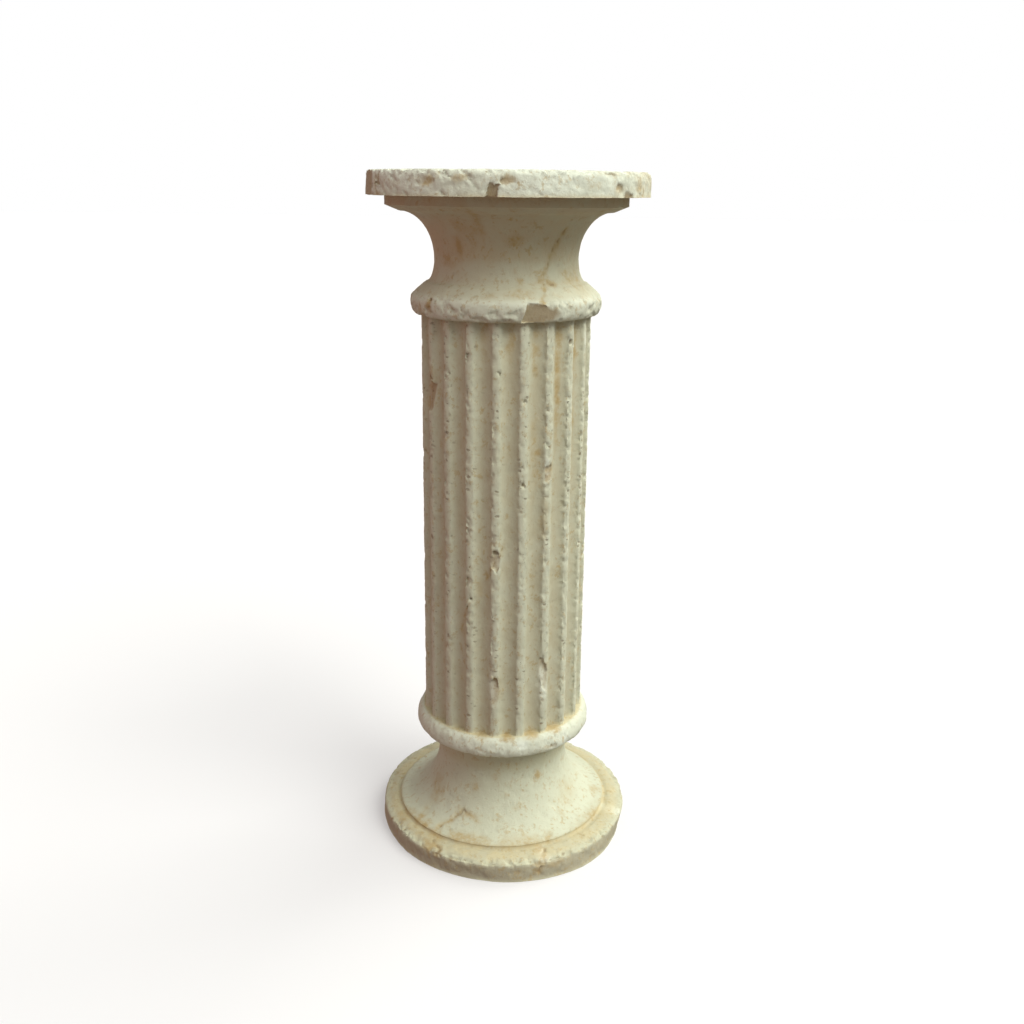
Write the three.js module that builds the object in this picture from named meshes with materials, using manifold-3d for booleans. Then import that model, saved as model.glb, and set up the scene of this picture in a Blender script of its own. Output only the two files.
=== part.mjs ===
// A waist-high column pedestal in one block of stone: a round foot with a flared neck, a torus,
// a shaft of twenty flutes, a necking ring, a cavetto and a round abacus slab.
// Millimetres, +Z up. The origin is the centre of the underside.
// An azimuth is in degrees round +Z: 0 is the front (-Y) and 90 is the right (+X).

import * as THREE from 'three';
import { mergeVertices } from 'three/addons/utils/BufferGeometryUtils.js';
import Module from 'manifold-3d';

const wasm = await Module();
wasm.setup();

// Foot disc
const FOOT_RADIUS = 183;
const FOOT_LEAN = 2;              // how far the side leans in up to the worn edge
const FOOT_SIDE_HEIGHT = 23;
const FOOT_EDGE_WIDTH = 9;        // worn round between the side and the ledge
const FOOT_EDGE_HEIGHT = 5;
const GROOVE_RADIUS = 151;        // the cut line between the ledge and the flare
const GROOVE_RISE = 3;            // the ledge rises this much from its edge to the cut line
const GROOVE_STEP = 4;

// Flare and lower neck
const LOWER_NECK_RADIUS = 91.5;
const FLARE_HEIGHT = 78;
const LOWER_NECK_HEIGHT = 35;

// Torus
const TORUS_RADIUS = 122.5;
const TORUS_BULGE = 10;           // from the crown of the roll in to the middle of its section
const TORUS_UNDER = 11;
const TORUS_OVER = 19;

// Shaft
const SHAFT_FOOT_RADIUS = 111.3;
const SHAFT_HEAD_RADIUS = 109.5;
const SHAFT_LENGTH = 548;
const FLUTES = 20;
const FLUTE_DEPTH = 8.5;
const RIB_WIDTH = 11;
const FIRST_RIB_AZIMUTH = -6;

// Necking ring
const RING_RADIUS = 123;
const RING_BULGE = 8;
const RING_UNDER = 18;
const RING_OVER = 11;
const RING_ROUND_SHARE = 0.95;    // how much of the height under the crown is round, the rest is a slope
const RING_ROUND_START = -80;     // the roll's section starts and stops short of a full half turn
const RING_ROUND_STOP = 70;
const SHOULDER_RADIUS = 102.5;    // where the ring's sloping top meets the upper neck
const SHOULDER_HEIGHT = 12;

// Upper neck and cavetto
const UPPER_NECK_RADIUS = 91.5;
const UPPER_NECK_RISE = 28;
const CAVETTO_RADIUS = 135;
const CAVETTO_HEIGHT = 57;

// Abacus
const FILLET_RADIUS = 152;
const FILLET_SLOPE = 7;
const FILLET_HEIGHT = 11;
const SLAB_RADIUS = 178;
const SLAB_HEIGHT = 30;
const SLAB_EDGE_WIDTH = 5;
const SLAB_EDGE_HEIGHT = 9;

const BREAK_REACH = 60;           // the thickness of a block that takes a break out of the stone

// Fineness of the faceted round forms
const TURNS = 3 * FLUTES;
const ROUND_STEPS = 4;
const CURVE_STEPS = 6;
const FLUTE_STEPS = 6;

// Heights that follow from the sizes above
const ledgeZ = FOOT_SIDE_HEIGHT + FOOT_EDGE_HEIGHT;
const grooveZ = ledgeZ + GROOVE_RISE;
const flareZ = grooveZ + GROOVE_STEP;
const neckZ = flareZ + FLARE_HEIGHT;
const torusFootZ = neckZ + LOWER_NECK_HEIGHT;
const torusZ = torusFootZ + TORUS_UNDER;
const shaftFootZ = torusZ + TORUS_OVER;
const shaftHeadZ = shaftFootZ + SHAFT_LENGTH;
const ringZ = shaftHeadZ + RING_UNDER;
const ringTopZ = ringZ + RING_OVER;
const shoulderZ = ringTopZ + SHOULDER_HEIGHT;
const upperNeckZ = shoulderZ + UPPER_NECK_RISE;
const cavettoZ = upperNeckZ + CAVETTO_HEIGHT;
const filletZ = cavettoZ + FILLET_SLOPE;
const slabZ = filletZ + FILLET_HEIGHT;
const topZ = slabZ + SLAB_HEIGHT;

const radians = THREE.MathUtils.degToRad;

// Points on an arc of an ellipse in the profile plane, angles in degrees from the outward direction.
function arc(radius, height, wide, high, from, to, steps) {
  const points = [];
  for (let i = 0; i <= steps; i += 1) {
    const angle = radians(from + ((to - from) * i) / steps);
    points.push(new THREE.Vector2(radius + wide * Math.cos(angle), height + high * Math.sin(angle)));
  }
  return points;
}

// A hollow curve whose circle's centre lies outside the stone, from (r0, z0) to (r1, z1).
function hollow(r0, z0, r1, z1, centreAtStart, steps) {
  const points = [];
  for (let i = 0; i <= steps; i += 1) {
    const angle = (Math.PI / 2) * (i / steps);
    const quick = Math.sin(angle);
    const slow = 1 - Math.cos(angle);
    const across = centreAtStart ? slow : quick;
    const along = centreAtStart ? quick : slow;
    points.push(new THREE.Vector2(r0 + (r1 - r0) * across, z0 + (z1 - z0) * along));
  }
  return points;
}

// A closed manifold solid from a three.js geometry.
function solidOf(geometry) {
  const bare = geometry.index ? geometry.toNonIndexed() : geometry.clone();
  bare.deleteAttribute('normal');
  bare.deleteAttribute('uv');
  const merged = mergeVertices(bare, 1e-3);
  const vertProperties = new Float32Array(merged.attributes.position.array);
  const triVerts = new Uint32Array(merged.index.array);
  return new wasm.Manifold(new wasm.Mesh({ numProp: 3, vertProperties, triVerts }));
}

// A solid of revolution round +Z from a profile that starts and ends on the axis.
function turned(profile) {
  const geometry = new THREE.LatheGeometry(profile, TURNS);
  geometry.rotateX(Math.PI / 2);
  return solidOf(geometry);
}

function onAxis(z) {
  return new THREE.Vector2(0, z);
}

function footSolid() {
  const sideTop = FOOT_RADIUS - FOOT_LEAN;
  const profile = [
    onAxis(0),
    new THREE.Vector2(FOOT_RADIUS, 0),
    ...arc(sideTop - FOOT_EDGE_WIDTH, FOOT_SIDE_HEIGHT, FOOT_EDGE_WIDTH, FOOT_EDGE_HEIGHT,
      0, 90, ROUND_STEPS),
    new THREE.Vector2(GROOVE_RADIUS, grooveZ),
    ...hollow(GROOVE_RADIUS, flareZ, LOWER_NECK_RADIUS, neckZ, false, CURVE_STEPS),
    new THREE.Vector2(LOWER_NECK_RADIUS, torusFootZ - TORUS_UNDER / 2),
    ...arc(TORUS_RADIUS - TORUS_BULGE, torusZ, TORUS_BULGE, TORUS_UNDER, -90, 0, ROUND_STEPS),
    ...arc(TORUS_RADIUS - TORUS_BULGE, torusZ, TORUS_BULGE, TORUS_OVER, 0, 90, ROUND_STEPS).slice(1),
    onAxis(shaftFootZ),
  ];
  return turned(profile);
}

function headSolid() {
  const ringMiddle = RING_RADIUS - RING_BULGE;
  const profile = [
    onAxis(shaftHeadZ),
    new THREE.Vector2(SHAFT_HEAD_RADIUS, shaftHeadZ),
    ...arc(ringMiddle, ringZ, RING_BULGE, RING_UNDER * RING_ROUND_SHARE, RING_ROUND_START, 0, ROUND_STEPS),
    ...arc(ringMiddle, ringZ, RING_BULGE, RING_OVER, 0, RING_ROUND_STOP, ROUND_STEPS).slice(1),
    ...hollow(SHOULDER_RADIUS, shoulderZ, UPPER_NECK_RADIUS, upperNeckZ, false, ROUND_STEPS),
    ...hollow(UPPER_NECK_RADIUS, upperNeckZ, CAVETTO_RADIUS, cavettoZ, true, CURVE_STEPS).slice(1),
    new THREE.Vector2(FILLET_RADIUS, filletZ),
    new THREE.Vector2(FILLET_RADIUS, slabZ),
    new THREE.Vector2(SLAB_RADIUS, slabZ),
    ...arc(SLAB_RADIUS - SLAB_EDGE_WIDTH, topZ - SLAB_EDGE_HEIGHT, SLAB_EDGE_WIDTH, SLAB_EDGE_HEIGHT,
      0, 90, ROUND_STEPS),
    onAxis(topZ),
  ];
  return turned(profile);
}

// The shaft's section at its foot: flat-topped ribs with a half-ellipse hollow between each two.
function shaftSection() {
  const radius = SHAFT_FOOT_RADIUS;
  const pitch = (2 * Math.PI) / FLUTES;
  const ribAngle = RIB_WIDTH / radius;
  const halfFlute = (pitch - ribAngle) / 2;
  const points = [];
  for (let flute = 0; flute < FLUTES; flute += 1) {
    const middle = radians(FIRST_RIB_AZIMUTH - 90) + pitch * (flute + 0.5);
    for (let i = 0; i <= FLUTE_STEPS; i += 1) {
      const turn = (Math.PI * i) / FLUTE_STEPS;
      const angle = middle - halfFlute * Math.cos(turn);
      const reach = radius - FLUTE_DEPTH * Math.sin(turn);
      points.push(new THREE.Vector2(reach * Math.cos(angle), reach * Math.sin(angle)));
    }
  }
  return new THREE.Shape(points);
}

// The shaft tapers from its foot radius to its head radius and runs on into the torus and the ring.
function shaftSolid() {
  const lowest = torusZ;
  const depth = ringZ - lowest;
  const geometry = new THREE.ExtrudeGeometry(shaftSection(), { depth, bevelEnabled: false });
  geometry.translate(0, 0, lowest);
  const position = geometry.attributes.position;
  for (let i = 0; i < position.count; i += 1) {
    const z = position.getZ(i);
    const rise = (z - shaftFootZ) / SHAFT_LENGTH;
    const radius = THREE.MathUtils.lerp(SHAFT_FOOT_RADIUS, SHAFT_HEAD_RADIUS, rise);
    const scale = radius / SHAFT_FOOT_RADIUS;
    position.setXY(i, position.getX(i) * scale, position.getY(i) * scale);
  }
  return solidOf(geometry);
}

// The place of a break on the shaft: the rib it strikes, counted to the right from the front one,
// and its height as a share of the shaft's length.
function onShaft(rib, share, block) {
  const azimuth = FIRST_RIB_AZIMUTH + (360 / FLUTES) * rib;
  const radius = THREE.MathUtils.lerp(SHAFT_FOOT_RADIUS, SHAFT_HEAD_RADIUS, share);
  const height = shaftFootZ + SHAFT_LENGTH * share;
  return { azimuth, radius, height, ...block };
}

// A break is the corner of a block laid against the stone: its inner face looks outward at the
// azimuth, at a depth under the stone's radius there, and the block spans a width and a height.
// Lean tips the inner face back at the top, roll turns the block in that face, and side shifts it
// along the face by that share of half its width.
function breakSolid({ azimuth, radius, depth, height, width, tall, lean = 0, roll = 0, side = 0 }) {
  const block = new THREE.BoxGeometry(width, BREAK_REACH, tall);
  block.translate((side * width) / 2, -BREAK_REACH / 2, 0);
  block.rotateY(radians(roll));
  block.rotateX(-radians(lean));
  block.translate(0, depth - radius, height);
  block.rotateZ(radians(azimuth));
  return solidOf(block);
}

const breaks = [
  // The flat fracture on the front of the necking ring, with a step at its left
  {
    azimuth: 15, radius: RING_RADIUS, depth: 6.5, height: ringZ - 4,
    width: 60, tall: 28, lean: -14, roll: 6, side: 0.7,
  },
  // A lump lost from the ring's shoulder at the left
  { azimuth: -46, radius: RING_RADIUS, depth: 3, height: ringZ + RING_OVER, width: 12, tall: 12, roll: 20 },
  // A notch in the slab's lower edge at the front
  { azimuth: -6, radius: SLAB_RADIUS, depth: 6, height: slabZ, width: 13, tall: 34, lean: -16, roll: 14 },
  // The slab's left end lost on a flat face, and a low corner lost at its right
  { azimuth: -78, radius: SLAB_RADIUS, depth: 6.5, height: topZ, width: 120, tall: 76, lean: 3 },
  { azimuth: 52, radius: SLAB_RADIUS, depth: 3, height: slabZ, width: 20, tall: 16, lean: -14 },
  // Ribs broken away along a stretch, deep at a step and running out at the other end
  onShaft(-3.2, 0.82, { depth: 4.5, width: 34, tall: 42, lean: 9 }),
  onShaft(2, 0.66, { depth: 3, width: 18, tall: 16, lean: 6 }),
  onShaft(2, 0.15, { depth: 3, width: 18, tall: 58, lean: 4 }),
  onShaft(0, 0.12, { depth: 3, width: 16, tall: 34, lean: 6 }),
  onShaft(0, 0.45, { depth: 3, width: 16, tall: 18, roll: 30 }),
  onShaft(8, 0.59, { depth: 4, width: 22, tall: 34, roll: 8 }),
  onShaft(-8, 0.28, { depth: 4, width: 20, tall: 26, roll: -10 }),
  // Pieces lost from the foot disc's worn edge, and its side worn back at the left and, under the
  // edge, at the right
  { azimuth: -42, radius: FOOT_RADIUS, depth: 9, height: ledgeZ, width: 20, tall: 18, lean: 18 },
  { azimuth: 17, radius: FOOT_RADIUS, depth: 8, height: ledgeZ, width: 16, tall: 16, lean: 20 },
  { azimuth: 150, radius: FOOT_RADIUS, depth: 8, height: ledgeZ, width: 30, tall: 18, lean: 20 },
  { azimuth: -80, radius: FOOT_RADIUS, depth: 9, height: 0, width: 130, tall: 60 },
  { azimuth: -48, radius: FOOT_RADIUS, depth: 8, height: 0, width: 130, tall: 60 },
  { azimuth: 75, radius: FOOT_RADIUS, depth: 7, height: 0, width: 130, tall: 44, lean: -14 },
];

function columnSolid() {
  let stone = footSolid().add(shaftSolid()).add(headSolid());
  for (const place of breaks) {
    stone = stone.subtract(breakSolid(place));
  }
  return stone;
}

function geometryOf(solid) {
  const mesh = solid.getMesh();
  const geometry = new THREE.BufferGeometry();
  geometry.setAttribute('position', new THREE.BufferAttribute(new Float32Array(mesh.vertProperties), 3));
  geometry.setIndex(new THREE.BufferAttribute(new Uint32Array(mesh.triVerts), 1));
  geometry.computeVertexNormals();
  return geometry;
}

const stone = new THREE.MeshStandardMaterial({ color: 0xcfc6a8, roughness: 0.85, metalness: 0 });
const column = new THREE.Mesh(geometryOf(columnSolid()), stone);
column.name = 'column';

const pedestal = new THREE.Group();
pedestal.add(column);

export default pedestal;
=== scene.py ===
# %% [markdown]
# # A weathered stone column pedestal
# The real object is one block of limestone, turned and carved: a round foot, a flared neck, a torus,
# a shaft of twenty flutes, a necking ring, a hollow moulding and a round slab. Rain and knocks have
# worn it, so its looks are in its wear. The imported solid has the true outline, and this script
# makes the surface that a viewer sees, inside the same box.

import bpy
import numpy as np
from mathutils import Euler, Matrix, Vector


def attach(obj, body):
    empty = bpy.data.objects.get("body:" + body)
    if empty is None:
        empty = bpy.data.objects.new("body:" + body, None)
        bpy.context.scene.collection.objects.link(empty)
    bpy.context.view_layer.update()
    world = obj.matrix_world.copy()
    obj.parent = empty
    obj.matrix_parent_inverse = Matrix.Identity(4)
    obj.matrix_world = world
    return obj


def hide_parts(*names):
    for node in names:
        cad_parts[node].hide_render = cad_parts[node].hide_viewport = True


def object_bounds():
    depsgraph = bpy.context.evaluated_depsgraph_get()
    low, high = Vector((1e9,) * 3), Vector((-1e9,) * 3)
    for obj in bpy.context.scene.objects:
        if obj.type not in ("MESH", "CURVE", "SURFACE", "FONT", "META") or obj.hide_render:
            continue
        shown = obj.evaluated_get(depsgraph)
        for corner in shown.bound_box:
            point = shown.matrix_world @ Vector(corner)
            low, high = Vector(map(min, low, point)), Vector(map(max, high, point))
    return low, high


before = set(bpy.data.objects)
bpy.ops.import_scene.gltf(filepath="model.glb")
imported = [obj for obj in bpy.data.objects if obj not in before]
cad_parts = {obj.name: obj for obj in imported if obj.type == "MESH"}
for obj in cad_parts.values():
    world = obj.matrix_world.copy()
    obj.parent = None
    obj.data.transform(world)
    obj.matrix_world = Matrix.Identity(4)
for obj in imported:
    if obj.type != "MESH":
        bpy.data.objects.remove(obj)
cad_box = [list(map(float, corner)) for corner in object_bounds()]
print("CAD box in metres:", cad_box)

# %% [markdown]
# ## The camera
# The photograph shows the slab edge on and the foot from above, so the lens stood level with the slab
# and looked down. The lens, the distance and the tilt were worked out from the outline: a wide
# lens close by widens the slab against the foot, and these values give the same widening.

# %% The camera
FRAME_PIXELS = 1024
FOCAL_PIXELS = 1040.0
SENSOR_MM = 36.0
CAMERA_DISTANCE = 1.350
CAMERA_HEIGHT = 0.882
CAMERA_TILT = np.radians(17.4)
CAMERA_ROLL = np.radians(0.62)
CAMERA_TURN = np.radians(0.446)

camera_data = bpy.data.cameras.new("camera")
camera_data.sensor_width = SENSOR_MM
camera_data.lens = FOCAL_PIXELS / FRAME_PIXELS * SENSOR_MM
camera = bpy.data.objects.new("camera", camera_data)
camera.location = (0.0, -CAMERA_DISTANCE, CAMERA_HEIGHT)
turn = Euler((0.0, 0.0, -CAMERA_TURN)).to_matrix()
tilt = Euler((np.pi / 2 - CAMERA_TILT, 0.0, 0.0)).to_matrix()
roll = Euler((0.0, 0.0, CAMERA_ROLL)).to_matrix()
camera.rotation_euler = (turn @ tilt @ roll).to_euler()
bpy.context.collection.objects.link(camera)
bpy.context.scene.camera = camera
print("lens in mm:", round(camera_data.lens, 2))

# %% [markdown]
# ## Shader maths
# A material, and the sky too, is a chain of nodes. One small class wraps a socket, so that sums on masks
# can be written as they are thought, and one method adds any other node.

# %% Shader maths
MM = 0.001


class Wire:
    """A node's output that can be added, subtracted and multiplied as a number."""

    def __init__(self, nodes, socket):
        self.nodes, self.socket = nodes, socket

    def _math(self, operation, first, second):
        return self.nodes.node("ShaderNodeMath", {"operation": operation}, {0: first, 1: second})[0]

    def __add__(self, other):
        return self._math("ADD", self, other)

    def __sub__(self, other):
        return self._math("SUBTRACT", self, other)

    def __mul__(self, other):
        return self._math("MULTIPLY", self, other)

    def __radd__(self, other):
        return self._math("ADD", other, self)

    def __rsub__(self, other):
        return self._math("SUBTRACT", other, self)

    def __rmul__(self, other):
        return self._math("MULTIPLY", other, self)

    def step(self, low, high):
        """0 below low, 1 above high, smooth between."""
        settings = {"interpolation_type": "SMOOTHSTEP"}
        values = {"Value": self, "From Min": low, "From Max": high}
        return self.nodes.node("ShaderNodeMapRange", settings, values)["Result"]


class Nodes:
    """Adds nodes to one tree."""

    def __init__(self, tree):
        self.tree = tree
        self.tree.nodes.clear()

    def node(self, kind, settings=None, values=None):
        """Adds a node: settings first, then each socket's value or link. Gives its outputs."""
        node = self.tree.nodes.new(kind)
        for key, value in (settings or {}).items():
            setattr(node, key, value)
        for key, value in (values or {}).items():
            socket = node.inputs[key]
            if isinstance(value, Wire):
                self.tree.links.new(value.socket, socket)
            else:
                socket.default_value = value
        return {key: Wire(self, out) for key, out in [*enumerate(node.outputs), *node.outputs.items()]}

    def vector(self, operation, first, second):
        """Vector maths, component by component."""
        return self.node("ShaderNodeVectorMath", {"operation": operation}, {0: first, 1: second})[0]

    def mix(self, share, first, second):
        """A blend of two colours."""
        return self.node("ShaderNodeMix", {"data_type": "RGBA"}, {0: share, 6: first, 7: second})[2]

    def noise(self, where, size, detail=3.0, rough=0.55, output="Fac"):
        """Blender's own noise at a feature size in millimetres."""
        values = {"Vector": where, "Scale": 1 / (size * MM), "Detail": detail, "Roughness": rough}
        return self.node("ShaderNodeTexNoise", {}, values)[output]

    def warped(self, where, size, reach):
        """Coordinates pushed about by noise of a size, by up to a reach in millimetres."""
        wobble = self.vector("SUBTRACT", self.noise(where, size, output="Color"), (0.5, 0.5, 0.5))
        push = self.vector("MULTIPLY", wobble, (2 * reach * MM,) * 3)
        return self.vector("ADD", where, push)

    def dots(self, where, size, radius, chance):
        """Spots of a share of the cell size, in that share of the cells: 1 inside a spot, 0 outside."""
        cells = self.node("ShaderNodeTexVoronoi", {}, {"Vector": where, "Scale": 1 / (size * MM)})
        luck = self.node("ShaderNodeSeparateColor", {}, {"Color": cells["Color"]})["Red"]
        inside = 1.0 - cells["Distance"].step(radius * 0.6, radius)
        return inside * luck.step(1.0 - chance, 1.04 - chance)

    def attribute(self, name):
        """A number stored at each point of the mesh."""
        return self.node("ShaderNodeAttribute", {"attribute_name": name})["Fac"]


def new_material(name):
    """A material and the nodes of its tree."""
    material = bpy.data.materials.new(name)
    material.use_nodes = True
    return material, Nodes(material.node_tree)


def rgb(red, green, blue):
    """A colour given as it looks on a screen, 0 to 255, turned into light."""
    share = np.array([red, green, blue]) / 255.0
    light = np.where(share <= 0.04045, share / 12.92, ((share + 0.055) / 1.055) ** 2.4)
    return (*light.tolist(), 1.0)


print("shader helpers ready")

# %% [markdown]
# ## Light and floor
# Three wide soft suns stand on the right: in front, beside and behind the stone. They brighten
# the right side, leave each rib a dark side and give one broad faint shadow. The sky fills the shade:
# whiter from above, dim and warm from below and from the left, so the hollow under the slab goes brown.
# A small lamp in front of the slab lights its rim. The camera sees plain white behind the floor, and
# the floor glows a little, so it is white paper. The plain colour transform keeps white paper white.

# %% Light and floor
scene = bpy.context.scene
scene.view_settings.view_transform = "Standard"

WHITE = (1.0, 1.0, 1.0, 1.0)
SKY_ABOVE = (0.47, 0.47, 0.46, 1.0)
SKY_BELOW = (0.245, 0.21, 0.185, 1.0)
SKY_LEFT = (0.43, 0.225, 0.21, 1.0)
TO_FRONT_SUN = (0.548, -0.384, 0.743)
TO_SIDE_SUN = (0.696, 0.123, 0.707)
TO_BACK_SUN = (0.620, 0.550, 0.560)
PAPER_GLOW = 0.30
PAPER_SHADE = 0.58
FLOOR_REACH = 30.0

world = bpy.data.worlds.new("studio")
world.use_nodes = True
scene.world = world
sky = Nodes(world.node_tree)
direction = sky.node("ShaderNodeTexCoord")["Generated"]
axes = sky.node("ShaderNodeSeparateXYZ", {}, {"Vector": direction})
fill = sky.mix(axes["Z"].step(-0.4, 0.5), SKY_BELOW, SKY_ABOVE)
fill = sky.mix((1.0 - axes["X"].step(-0.95, -0.15)) * (1.0 - axes["Z"].step(0.2, 0.9)), fill, SKY_LEFT)
seen = sky.node("ShaderNodeLightPath")["Is Camera Ray"]
background = sky.node("ShaderNodeBackground", {}, {"Color": sky.mix(seen, fill, WHITE)})
sky.node("ShaderNodeOutputWorld", {}, {"Surface": background["Background"]})


def add_lamp(name, kind, spot, target, power, settings):
    """A lamp of a kind at a spot, turned to face a target."""
    data = bpy.data.lights.new(name, kind)
    data.energy = power
    for key, value in settings.items():
        setattr(data, key, value)
    lamp = bpy.data.objects.new(name, data)
    lamp.location = spot
    lamp.rotation_euler = (Vector(target) - Vector(spot)).to_track_quat("-Z", "Y").to_euler()
    bpy.context.collection.objects.link(lamp)


soft = {"angle": np.radians(36.0), "color": (1.0, 0.995, 0.95)}
add_lamp("front_sun", "SUN", TO_FRONT_SUN, (0, 0, 0), 2.0, soft)
add_lamp("side_sun", "SUN", TO_SIDE_SUN, (0, 0, 0), 0.7, soft)
add_lamp("back_sun", "SUN", TO_BACK_SUN, (0, 0, 0), 1.2, soft)
small = {"size": 0.5, "color": (1.0, 1.0, 0.97)}
add_lamp("slab_lamp", "AREA", (0.25, -1.2, 1.75), (0, -0.1, 0.88), 4.0, small)

floor_mesh = bpy.data.meshes.new("floor")
corners = [(-1, -1), (1, -1), (1, 1), (-1, 1)]
floor_mesh.from_pydata([(x * FLOOR_REACH, y * FLOOR_REACH, 0.0) for x, y in corners], [], [(0, 1, 2, 3)])
floor = bpy.data.objects.new("floor", floor_mesh)
floor.visible_diffuse = False
bpy.context.collection.objects.link(floor)
paper_material, paper = new_material("paper")
shade = paper.node("ShaderNodeBsdfDiffuse", {}, {"Color": (PAPER_SHADE,) * 3 + (1.0,)})["BSDF"]
glow = paper.node("ShaderNodeEmission", {}, {"Color": WHITE, "Strength": PAPER_GLOW})["Emission"]
both = paper.node("ShaderNodeAddShader", {}, {0: shade, 1: glow})[0]
paper.node("ShaderNodeOutputMaterial", {}, {"Surface": both})
floor_mesh.materials.append(paper_material)
print("lamps:", len(bpy.data.lights))

# %% [markdown]
# ## The sizes of the carved form
# These are the same sizes as the solid's, in millimetres, from the foot upwards. The mesh is made from
# one profile, carried round the axis, so a lathe's drawing is all that it needs.

# %% Sizes
FOOT_RADIUS = 183.0
FOOT_LEAN = 2.0
FOOT_SIDE_HEIGHT = 23.0
FOOT_EDGE_WIDTH = 9.0
FOOT_EDGE_HEIGHT = 5.0
GROOVE_RADIUS = 151.0
GROOVE_RISE = 3.0
GROOVE_STEP = 4.0
GROOVE_SLOPE = 1.5
LOWER_NECK_RADIUS = 91.5
FLARE_HEIGHT = 78.0
LOWER_NECK_HEIGHT = 35.0
TORUS_RADIUS = 122.5
TORUS_BULGE = 10.0
TORUS_UNDER = 11.0
TORUS_OVER = 19.0
SHAFT_FOOT_RADIUS = 111.3
SHAFT_HEAD_RADIUS = 109.5
SHAFT_LENGTH = 548.0
FLUTES = 20
FLUTE_DEPTH = 8.5
RIB_WIDTH = 11.0
FIRST_RIB_AZIMUTH = -6.0
RING_RADIUS = 123.0
RING_BULGE = 8.0
RING_UNDER = 18.0
RING_OVER = 11.0
RING_ROUND_SHARE = 0.95
RING_ROUND_START = -80.0
RING_ROUND_STOP = 70.0
SHOULDER_RADIUS = 102.5
SHOULDER_HEIGHT = 12.0
UPPER_NECK_RADIUS = 91.5
UPPER_NECK_RISE = 28.0
CAVETTO_RADIUS = 135.0
CAVETTO_HEIGHT = 57.0
FILLET_RADIUS = 152.0
FILLET_SLOPE = 7.0
FILLET_HEIGHT = 11.0
SLAB_RADIUS = 178.0
SLAB_HEIGHT = 30.0
SLAB_EDGE_WIDTH = 5.0
SLAB_EDGE_HEIGHT = 9.0

ledge_z = FOOT_SIDE_HEIGHT + FOOT_EDGE_HEIGHT
groove_z = ledge_z + GROOVE_RISE
flare_z = groove_z + GROOVE_STEP
neck_z = flare_z + FLARE_HEIGHT
torus_foot_z = neck_z + LOWER_NECK_HEIGHT
torus_z = torus_foot_z + TORUS_UNDER
shaft_foot_z = torus_z + TORUS_OVER
shaft_head_z = shaft_foot_z + SHAFT_LENGTH
ring_z = shaft_head_z + RING_UNDER
ring_top_z = ring_z + RING_OVER
shoulder_z = ring_top_z + SHOULDER_HEIGHT
upper_neck_z = shoulder_z + UPPER_NECK_RISE
cavetto_z = upper_neck_z + CAVETTO_HEIGHT
fillet_z = cavetto_z + FILLET_SLOPE
slab_z = fillet_z + FILLET_HEIGHT
top_z = slab_z + SLAB_HEIGHT
print("height in mm:", top_z)

# %% [markdown]
# ## The profile
# A turner works to a card cut to the profile. Here the card is a list of strokes: straight lines, arcs of
# ellipses and hollow curves. Each stroke carries the name of its zone, because each zone has weathered
# in its own way, and a share from 0 to 1 that says how deep the flutes are cut there.

# %% Strokes of the profile
STEP = 1.7
AXIS_GAP = 3.0
SEAT_RISE = 0.4
HEAD_STEP = 1.0


def steps_for(length):
    """How many steps of about STEP fit in a length."""
    return max(2, int(np.ceil(length / STEP)))


def line(r0, z0, r1, z1, coarse=1.0):
    """Points on a straight line, evenly spaced: start + share * (end - start)."""
    share = np.linspace(0.0, 1.0, steps_for(np.hypot(r1 - r0, z1 - z0) / coarse) + 1)
    return np.stack([r0 + (r1 - r0) * share, z0 + (z1 - z0) * share], axis=1)


def arc(radius, height, wide, high, start, stop):
    """Points on an ellipse: centre + (wide * cos(angle), high * sin(angle)), angles in degrees."""
    length = np.radians(abs(stop - start)) * (wide + high) / 2
    angle = np.radians(np.linspace(start, stop, steps_for(length) + 1))
    return np.stack([radius + wide * np.cos(angle), height + high * np.sin(angle)], axis=1)


def hollow(r0, z0, r1, z1, slow_start):
    """A quarter of an ellipse whose centre is outside the stone, from (r0, z0) to (r1, z1)."""
    length = np.hypot(r1 - r0, z1 - z0) * 1.1
    angle = np.linspace(0.0, np.pi / 2, steps_for(length) + 1)
    quick, slow = np.sin(angle), 1.0 - np.cos(angle)
    across, along = (slow, quick) if slow_start else (quick, slow)
    return np.stack([r0 + (r1 - r0) * across, z0 + (z1 - z0) * along], axis=1)


side_top = FOOT_RADIUS - FOOT_LEAN
ledge_start = side_top - FOOT_EDGE_WIDTH
groove_foot = GROOVE_RADIUS - GROOVE_SLOPE
torus_low_z = torus_foot_z - TORUS_UNDER / 2
torus_middle = TORUS_RADIUS - TORUS_BULGE
seat_z = shaft_foot_z + SEAT_RISE
head_z = shaft_head_z + SEAT_RISE
head_radius = SHAFT_HEAD_RADIUS + HEAD_STEP
slab_crown = SLAB_RADIUS - SLAB_EDGE_WIDTH
ring_middle = RING_RADIUS - RING_BULGE
ring_low = arc(ring_middle, ring_z, RING_BULGE, RING_UNDER * RING_ROUND_SHARE, RING_ROUND_START, 0)
ring_high = arc(ring_middle, ring_z, RING_BULGE, RING_OVER, 0, RING_ROUND_STOP)

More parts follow.
